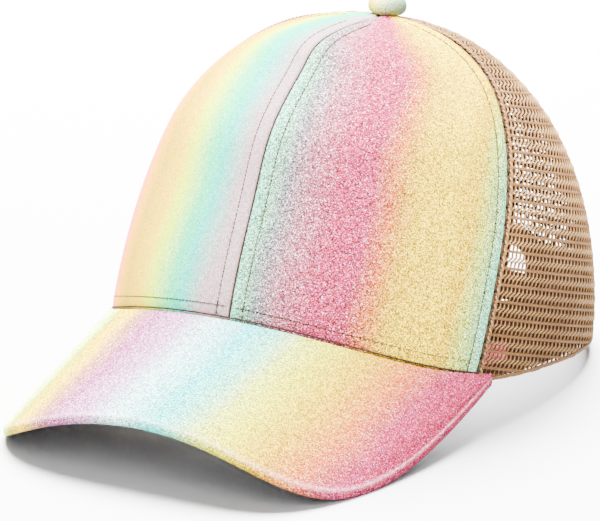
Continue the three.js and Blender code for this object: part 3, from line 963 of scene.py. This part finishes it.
def button_piece():
    """A round edged disc turned about the apex: flat below, half an ellipse at the edge and a
    slight dome above, with small gathers in the cloth of its lower half."""
    flat = BUTTON_RADIUS - BUTTON_EDGE
    swing = np.radians(np.linspace(-90, 90, 17))
    inner = np.linspace(1, 0, 7)[1:] * flat
    radius = np.concatenate([inner[::-1], flat + BUTTON_EDGE * np.cos(swing), inner])
    dome = BUTTON_HEIGHT + BUTTON_DOME * (1 - (inner / flat) ** 2)
    height = GAP + np.concatenate([0 * inner, BUTTON_HEIGHT / 2 * (1 + np.sin(swing)), dome])
    turn, radius = np.meshgrid(np.linspace(0, 2 * np.pi, 65)[:-1], radius, indexing="ij")
    height = np.broadcast_to(height, radius.shape)
    low = np.clip(1 - (height - GAP) / (0.6 * BUTTON_HEIGHT), 0, 1)
    radius = radius * (1 + 0.015 * np.sin(16 * turn) * low)
    x, y = radius * np.sin(turn), APEX_SET_BACK - radius * np.cos(turn)
    points = np.stack([x, y, CROWN_HEIGHT + height], axis=-1)
    count, rows = turn.shape
    i, j = np.meshgrid(np.arange(count), np.arange(rows - 1), indexing="ij")
    a = (i * rows + j).ravel()
    b = ((i + 1) % count * rows + j).ravel()
    quads = np.stack([a, b, b + 1, a + 1], axis=-1)
    cloth = np.stack([(x + 8) / STRIPE_SPAN, height], axis=-1)
    piece = add_mesh("button", points, quads, [button_cloth], cloth=cloth)
    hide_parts("button")


button_piece()


# Net


def opening_level(x, z, margin):
    """1 on the back opening's outline grown by a margin, less than 1 inside it."""
    across = np.abs(x) / (OPENING_HALF_WIDTH + margin)
    above = z / (OPENING_HEIGHT + margin)
    return (across**OPENING_SQUARENESS + above**OPENING_SQUARENESS) ** (1 / OPENING_SQUARENESS)


def clear_of_opening(bearing, elevation):
    """Moves what lies inside the opening's binding straight out to the binding's outer edge."""
    x, _, z = np.moveaxis(crown_point(bearing, elevation), -1, 0)
    level = np.maximum(opening_level(x, z, BINDING_WIDTH + GAP), 1e-3)
    grow = np.where((level < 1) & (bearing > 150), 1 / level, 1)
    lifted = elevation_at(z * grow)
    moved = rear_bearing(x * grow, lifted)
    return np.where(grow > 1, moved, bearing), np.where(grow > 1, lifted, elevation)


def column_place(column, growing):
    """Millimetres from the seam to a column. On the side nets the columns spread apart, from the
    folded edge to the fullest part, so their places grow as an exponential does."""
    if growing:
        return SEAM_PITCH / PITCH_GROWTH * (np.exp(PITCH_GROWTH * column) - 1)
    return BACK_PITCH * column


# Around a cell, in half columns and half rows: a hole's cell is upright, a crossing's leans over
# by one column
HOLE_RING = np.array([(-1, -1), (0, -1), (1, -1), (1, 0), (1, 1), (0, 1), (-1, 1), (-1, 0)])
CROSSING_RING = HOLE_RING + np.stack([HOLE_RING[:, 1], np.zeros(8, int)], axis=-1)
ROUND_CORNERS = np.array([0.82, 1, 0.82, 1, 0.82, 1, 0.82, 1])[:, None]

# Heights within a pair of rows at its six half rows, and how deep the threads lie there
HALF_ROWS = np.array([0, CROSSING_LOW / 2, CROSSING_LOW, 3, CROSSING_HIGH, 3 + CROSSING_HIGH / 2])
HALF_ROW_DEPTHS = np.array([0.05, 0.2, 0.35, 0.5, 0.35, 0.2])


class NetCloth:
    """Places on one net panel: columns counted from its front seam, rows that may descend."""

    def __init__(self, side, gore, descent, growing, opening):
        self.side = side
        self.gore = gore
        self.slope = np.tan(np.radians(descent))
        self.growing = growing
        self.opening = opening

    def share_and_height(self, column, row_height):
        x = column_place(column, self.growing)
        y = row_height - self.slope * x
        return x / self.gore.width(self.gore.elevation(y)), y

    def on_crown(self, column, row_height):
        share, y = self.share_and_height(column, row_height)
        elevation = self.gore.elevation(y)
        inset = GAP / 2 / self.gore.width(elevation)
        bearing = self.gore.bearing(np.clip(share, inset, 1 - inset), elevation)
        if self.opening:
            bearing, elevation = clear_of_opening(bearing, elevation)
        return bearing, elevation

    def point(self, column, row_height, depth):
        bearing, elevation = self.on_crown(column, row_height)
        points = crown_at_depth(bearing, elevation, depth)
        return mirrored(points) if self.side < 0 else points

    def normal(self, column, row_height):
        normals = crown_normal(*self.on_crown(column, row_height))
        return mirrored(normals) if self.side < 0 else normals

    def keeps(self, column, row_height):
        share, y = self.share_and_height(column, row_height)
        inside = (share > 0) & (share < 1) & (y > 0) & (y < self.gore.heights[-1])
        if self.opening:
            elevation = self.gore.elevation(y)
            where = crown_point(self.gore.bearing(share, elevation), elevation)
            inside &= opening_level(where[:, 0], where[:, 2], BINDING_WIDTH + GAP) > 1
        return inside


def half_row_height(half_row):
    return NET_PAIR * (half_row // 6) + HALF_ROWS[half_row % 6]


def net_cells(net, first, ring, hole, hole_low, hole_high):
    """The cells of one kind that lie on the panel: their centres in half columns and half rows,
    their eight ring places, and the eight points of the opening in each."""
    columns = int(140 / SEAM_PITCH)
    pairs = int((net.gore.heights[-1] + 40) / NET_PAIR)
    i, j = np.meshgrid(np.arange(-2, columns), np.arange(pairs), indexing="ij")
    centre = np.stack([2 * i.ravel() + first[0], 6 * j.ravel() + first[1]], axis=-1)
    keep = net.keeps(centre[:, 0] / 2, half_row_height(centre[:, 1]))
    centre = centre[keep]
    middle = NET_PAIR * (centre[:, 1] // 6) + (hole_low + hole_high) / 2
    opening = np.stack([
        (centre[:, :1] + hole[:, 0]) / 2,
        middle[:, None] + hole[:, 1] * (hole_high - hole_low) / 2,
    ], axis=-1)
    return centre[:, None] + ring, opening


def net_mesh(net):
    """Each cell is a ring between eight points, which its neighbours share, and the eight points of
    its opening, with a front, a back and the opening's wall. The net's border is closed."""
    upright = HOLE_RING * ROUND_CORNERS * np.array([HOLE_SHARE, 1])
    leaning = HOLE_RING * np.array([SLIT_SHARE, 1]) + np.stack([HOLE_RING[:, 1] * 0.8, np.zeros(8)], axis=-1)
    kinds = [
        net_cells(net, (1, 1), HOLE_RING, upright, BAND_HALF, CROSSING_LOW - 0.1),
        net_cells(net, (2, 3), CROSSING_RING, leaning, CROSSING_LOW + 0.12, CROSSING_HIGH - 0.12),
        net_cells(net, (1, 5), HOLE_RING, upright, CROSSING_HIGH + 0.1, NET_PAIR - BAND_HALF),
    ]
    rings = np.concatenate([ring for ring, _ in kinds]).reshape(-1, 2)
    openings = np.concatenate([opening for _, opening in kinds]).reshape(-1, 2)
    shared, ring_number = np.unique(rings, axis=0, return_inverse=True)
    height = half_row_height(shared[:, 1])
    front_depth = HALF_ROW_DEPTHS[shared[:, 1] % 6]
    opening = openings[:, 0], openings[:, 1]
    points = np.concatenate([
        net.point(shared[:, 0] / 2, height, front_depth),
        net.point(*opening, NET_WALL / 2 - 0.1),
        net.point(*opening, NET_WALL / 2 + 0.1),
        net.point(shared[:, 0] / 2, height, NET_WALL - 0.15),
    ])
    outer = ring_number.reshape(-1, 8)
    inner = len(shared) + np.arange(len(openings)).reshape(-1, 8)
    far_inner = inner + len(openings)
    far = len(shared) + 2 * len(openings)
    loops = outer, inner, far_inner, outer + far
    following = [np.roll(loop, -1, axis=1) for loop in loops]
    quads = [
        np.stack([loops[k], following[k], following[k + 1], loops[k + 1]], axis=-1).reshape(-1, 4)
        for k in range(3)
    ]
    sides = np.stack([outer, following[0]], axis=-1).reshape(-1, 2)
    _, index, count = np.unique(np.sort(sides, axis=1), axis=0, return_index=True, return_counts=True)
    a, b = sides[index[count == 1]].T
    # The holes' walls and the back of the net get the near-black thread: painted shade
    shaded = np.repeat([0, 1, 1, 0], [len(quads[0]), len(quads[1]), len(quads[2]), len(a)])
    quads = np.concatenate([*quads, np.stack([b, a, a + far, b + far], axis=-1)])
    return points, quads[:, ::-1] if net.side < 0 else quads, shaded


def net_strands(net, name):
    """The thread of each column: up between two holes, across the crossing to the next column, and
    up between two holes again."""
    columns = int(140 / SEAM_PITCH)
    pairs = int((net.gore.heights[-1] + 40) / NET_PAIR)
    i, j = np.meshgrid(np.arange(columns), np.arange(pairs), indexing="ij")
    column = i.ravel()[:, None] + np.array([0, 0, 0.06, 0.5, 0.94, 1, 1])
    height = j.ravel()[:, None] * NET_PAIR + np.array([0.35, 1.3, 2.3, 3.0, 3.7, 4.7, 5.65])
    keep = net.keeps(column[:, 0], height[:, 0]) & net.keeps(column[:, -1], height[:, -1])
    column, height = column[keep], height[keep]
    paths = net.point(column, height, np.array([0.35, 0.15, 0.05, -0.05, 0.05, 0.15, 0.35]))
    normals = net.normal(column[:, 3], height[:, 3])
    sizes = np.array([0.14, 0.18, 0.25, 0.28, 0.25, 0.18, 0.14])
    piece = threads(name, paths, normals, sizes, [strand_thread], flatness=0.8)


def net_panel(side, name, gore, descent, growing, opening):
    net = NetCloth(side, gore, descent, growing, opening)
    points, quads, shaded = net_mesh(net)
    piece = add_mesh(name, points, quads, [net_thread, painted_hole_shade], shaded)
    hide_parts(name)
    net_strands(net, name + "_strands")


for side, word in ((1, "left"), (-1, "right")):
    net_panel(side, f"side_net_{word}", side_gore, SIDE_NET_DESCENT, True, False)
    net_panel(side, f"back_net_{word}", back_gore, 0, False, True)


def net_fold(side, word):
    """The net's folded edge along the front seam: two cords wound round each other, and a dark
    one of painted shade between them and the panel, each an offset across and out that runs
    around in each lay."""
    steps = 760
    elevation = np.linspace(0.3, 84.5, steps)
    lift = mix(-0.35, 0.7, smooth_step(elevation, 70, 84))
    cords = (
        (FOLD_INSET, 0, FOLD_WIND, FOLD_RADIUS, strand_thread),
        (FOLD_INSET, np.pi, FOLD_WIND, FOLD_RADIUS, net_thread),
        # The third, near-black cord is painted shade beside the panel's edge
        (0.2, 0, 0.25, 0.32, painted_crease_shade),
    )
    for number, (inset, start, wind, radius, material) in enumerate(cords, 1):
        bearing = side_gore.bearing(inset / side_gore.width(elevation), elevation)
        middle = crown_at_depth(bearing, elevation, lift)
        normals = crown_normal(bearing, elevation)
        aside = unit(np.cross(np.gradient(middle, axis=0), normals))
        turn = start + 2 * np.pi * lengths_along(middle, axis=0)[:, None] / FOLD_LAY
        path = middle + wind * (aside * np.cos(turn) + 0.5 * normals * np.sin(turn))
        if side < 0:
            path, normals = mirrored(path), mirrored(normals)
        piece = tube(f"net_fold_{word}_{number}", path, normals, radius, [material])


net_fold(1, "left")
net_fold(-1, "right")


def rim_roll():
    """The net's lower edge, turned under: a thin roll along the rim from the peak's end to the
    binding's foot, on each side."""
    foot = rear_bearing(OPENING_HALF_WIDTH + BINDING_WIDTH + 0.6, 0.0)
    bearing = np.linspace(FRONT_SEAM_BEARING + 0.6, float(foot), 220)
    for side, word in ((1, "left"), (-1, "right")):
        path = crown_at_depth(bearing, 0.35, 0.55)
        normals = crown_normal(bearing, 0.35)
        if side < 0:
            path, normals = mirrored(path), mirrored(normals)
        along = lengths_along(path, axis=0)

        def swell(step, turn, along=along):
            return 0.12 * np.cos(2 * np.pi * along[step] / 2.2 + turn)

        piece = tube(f"rim_roll_{word}", path, normals, 0.7, [net_thread], sides=8, swell=swell)


rim_roll()


# Sweatband, tapes, binding and straps


def strip(name, bearing, elevation, depth, wall, material):
    piece = crown_slab(name, bearing, elevation, depth, wall, [material])
    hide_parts(name)


def sweatband():
    foot = float(rear_bearing(np.float64(OPENING_HALF_WIDTH), 0.0))
    across, up = np.meshgrid(close_steps(220, 0.002), close_steps(12, 0.04), indexing="ij")
    bearing = mix(-foot, foot, across)
    height = rim_height(bearing) + GAP + BAND_HEIGHT * up
    strip("sweatband", bearing, elevation_at(height), UNDER_STRAP, BAND_WALL, band_cloth)


sweatband()


def angle_of_length(length, bearing, elevation):
    step = crown_point(bearing + 0.5, elevation) - crown_point(bearing - 0.5, elevation)
    return length / np.linalg.norm(step, axis=-1)


def seam_tape(side, name, seam, depth):
    across, up = np.meshgrid(close_steps(9, 0.08), close_steps(60, 0.01), indexing="ij")
    low = elevation_at(rim_height(seam(0)) + BAND_HEIGHT + 2 * GAP)
    elevation = mix(low, TAPE_TOP_ELEVATION, up)
    bearing = seam(elevation)
    bearing = bearing + (2 * across - 1) * angle_of_length(TAPE_HALF_WIDTH, bearing, elevation)
    strip(name, side * bearing, elevation, depth, TAPE_WALL, tape_cloth_and_painted_shade)


for side, word in ((1, "left"), (-1, "right")):
    seam_tape(side, f"front_seam_tape_{word}", front_seam, UNDER_PANEL)
    seam_tape(side, f"back_seam_tape_{word}", back_seam, UNDER_NET)


def rear_tape():
    across, up = np.meshgrid(close_steps(9, 0.08), close_steps(50, 0.01), indexing="ij")
    low = elevation_at(OPENING_HEIGHT + BINDING_WIDTH + GAP)
    elevation = mix(low, TAPE_TOP_ELEVATION, up)
    bearing = rear_bearing((1 - 2 * across) * TAPE_HALF_WIDTH, elevation)
    strip("rear_seam_tape", bearing, elevation, UNDER_NET, TAPE_WALL, tape_cloth_and_painted_shade)


rear_tape()


def opening_arch(along, margin):
    """Places on the opening's outline: 1 at the left foot, 0 at the top, -1 at the right foot."""
    climb = (1 - np.abs(along)) / np.maximum(np.abs(along), 1e-6)
    turn = np.arctan(climb ** (OPENING_SQUARENESS / 2))
    exponent = 2 / OPENING_SQUARENESS
    aside = (OPENING_HALF_WIDTH + margin) * np.sign(along) * np.cos(turn) ** exponent
    elevation = elevation_at((OPENING_HEIGHT + margin) * np.sin(turn) ** exponent)
    return rear_bearing(aside, elevation), elevation


def binding():
    along, out = np.meshgrid(np.linspace(1, -1, 121), close_steps(10, 0.09), indexing="ij")
    bearing, elevation = opening_arch(along, BINDING_WIDTH * out)
    strip("opening_binding", bearing, elevation, BINDING_DEPTH, BINDING_WALL, binding_cloth)
    steps = np.linspace(0.985, -0.985, 500)
    for word, share in (("inner", 0.2), ("outer", 0.8)):
        bearing, elevation = opening_arch(steps, BINDING_WIDTH * share)
        path = crown_at_depth(bearing, elevation, BINDING_DEPTH - 0.05)
        stitch_row(f"binding_stitches_{word}", path, crown_normal(bearing, elevation))


binding()


def strap(side, name):
    """A flat strap from its root behind the back net across the opening and past its middle. The
    right one dips under the left one's free end."""
    across, up = np.meshgrid(close_steps(80, 0.01), close_steps(9, 0.06), indexing="ij")
    elevation = elevation_at(STRAP_LIFT + STRAP_WIDTH * up)
    reach = mix(OPENING_HALF_WIDTH + STRAP_ROOT_LENGTH, -STRAP_OVERLAP / 2, across)
    bearing = rear_bearing(reach, elevation)
    depth = np.full(across.shape, STRAP_DEPTH)
    if side < 0:
        start = rear_bearing(np.float64(OPENING_HALF_WIDTH), 0.0)
        end = rear_bearing(np.float64(STRAP_OVERLAP / 2 + 2 * GAP), 0.0)
        depth = mix(STRAP_DEPTH, UNDER_STRAP, smooth_step(bearing, start, end))
    strip(name, side * bearing, elevation, depth, STRAP_WALL, strap_cloth)


strap(1, "closure_strap_left")
strap(-1, "closure_strap_right")


def tuck(side, word):
    across, up = np.meshgrid(close_steps(14, 0.06), close_steps(12, 0.06), indexing="ij")
    reach = angle_of_length(1.0, np.array([float(FRONT_SEAM_BEARING)]), 0.0)[0]
    bearing = FRONT_SEAM_BEARING + reach * (TUCK_SET_BACK + TUCK_WIDTH * across)
    elevation = elevation_at(mix(TUCK_LOW, TUCK_HIGH, up))
    cloth = np.stack([across * 0.1, up * 0.1], axis=-1)
    name = f"peak_tuck_{word}"
    piece = crown_slab(name, side * bearing, elevation, UNDER_NET, TAPE_WALL, [tuck_cloth], cloth)
    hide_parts(name)


tuck(1, "left")
tuck(-1, "right")


# Floor, light and camera


def add_floor():
    mesh = bpy.data.meshes.new("floor")
    reach = 6.0
    corners = [(-reach, -reach, 0), (reach, -reach, 0), (reach, reach, 0), (-reach, reach, 0)]
    mesh.from_pydata(corners, [], [(0, 1, 2, 3)])
    m = Maker("floor")
    grain = m.range(m.noise(3, 2), 0.3, 0.7, 0.0, 1.0)
    m.join(m.mix(grain, srgb(247, 247, 248), srgb(250, 250, 250)), m.shader.inputs["Base Color"])
    m.shader.inputs["Roughness"].default_value = 0.9
    m.shader.inputs["Specular IOR Level"].default_value = 0.1
    mesh.materials.append(m.material)
    floor = bpy.data.objects.new("floor", mesh)
    bpy.context.collection.objects.link(floor)


add_floor()

# The photograph's view, from the fitted outlines: the camera looks at a point near the crown
CAMERA_AZIMUTH = 30.137
CAMERA_ELEVATION = 17.899
CAMERA_DISTANCE = 2098.1
CAMERA_LENS = 332.01
AIM_ASIDE = -16.235
AIM_ABOVE = 27.758

azimuth, elevation = np.radians([CAMERA_AZIMUTH, CAMERA_ELEVATION])
to_camera = np.array([
    np.sin(azimuth) * np.cos(elevation), -np.cos(azimuth) * np.cos(elevation), np.sin(elevation)
])
to_right = np.array([np.cos(azimuth), np.sin(azimuth), 0.0])
to_top = np.cross(to_camera, to_right)


def add_camera():
    data = bpy.data.cameras.new("camera")
    data.lens = CAMERA_LENS
    data.sensor_width = 36.0
    data.clip_end = 50.0
    camera = bpy.data.objects.new("camera", data)
    place = to_camera * CAMERA_DISTANCE + to_right * AIM_ASIDE + to_top * AIM_ABOVE
    place = place * MM + RIM_MIDDLE
    axes = np.eye(4)
    axes[:3, 0], axes[:3, 1], axes[:3, 2], axes[:3, 3] = to_right, to_top, to_camera, place
    camera.matrix_world = Matrix(axes.tolist())
    bpy.context.collection.objects.link(camera)
    bpy.context.scene.camera = camera


add_camera()


def add_light(name, direction, size, power, lit=None):
    """A square soft box that looks at the cap from a direction, 1.6 m away. It may light only the
    pieces of a collection."""
    data = bpy.data.lights.new(name, "AREA")
    data.size = size
    data.energy = power
    light = bpy.data.objects.new(name, data)
    if lit is not None:
        light.light_linking.receiver_collection = lit
    away = unit(np.array(direction))
    aside = unit(np.cross([0, 0, 1], away))
    axes = np.eye(4)
    axes[:3, 0], axes[:3, 1], axes[:3, 2] = aside, np.cross(away, aside), away
    axes[:3, 3] = away * 1.6 + np.array([0, 0, 0.06])
    light.matrix_world = Matrix(axes.tolist())
    bpy.context.collection.objects.link(light)


add_light("key", -0.5 * to_right + 0.4 * to_camera + np.array([0, 0, 1.2]), 0.6, 205, cap_pieces)
add_light("fill", 0.15 * to_right + 0.5 * to_camera + np.array([0, 0, 1.1]), 0.7, 160, cap_pieces)
add_light("top", -0.5 * to_camera + np.array([0, 0, 1.0]), 1.1, 460)
add_light("bounce", 0.8 * to_camera + np.array([0, 0, 0.5]), 1.4, 14)

world = bpy.data.worlds.new("studio")
world.use_nodes = True
world.node_tree.nodes["Background"].inputs["Color"].default_value = (1, 1, 1, 1)
world.node_tree.nodes["Background"].inputs["Strength"].default_value = 0.3
bpy.context.scene.world = world
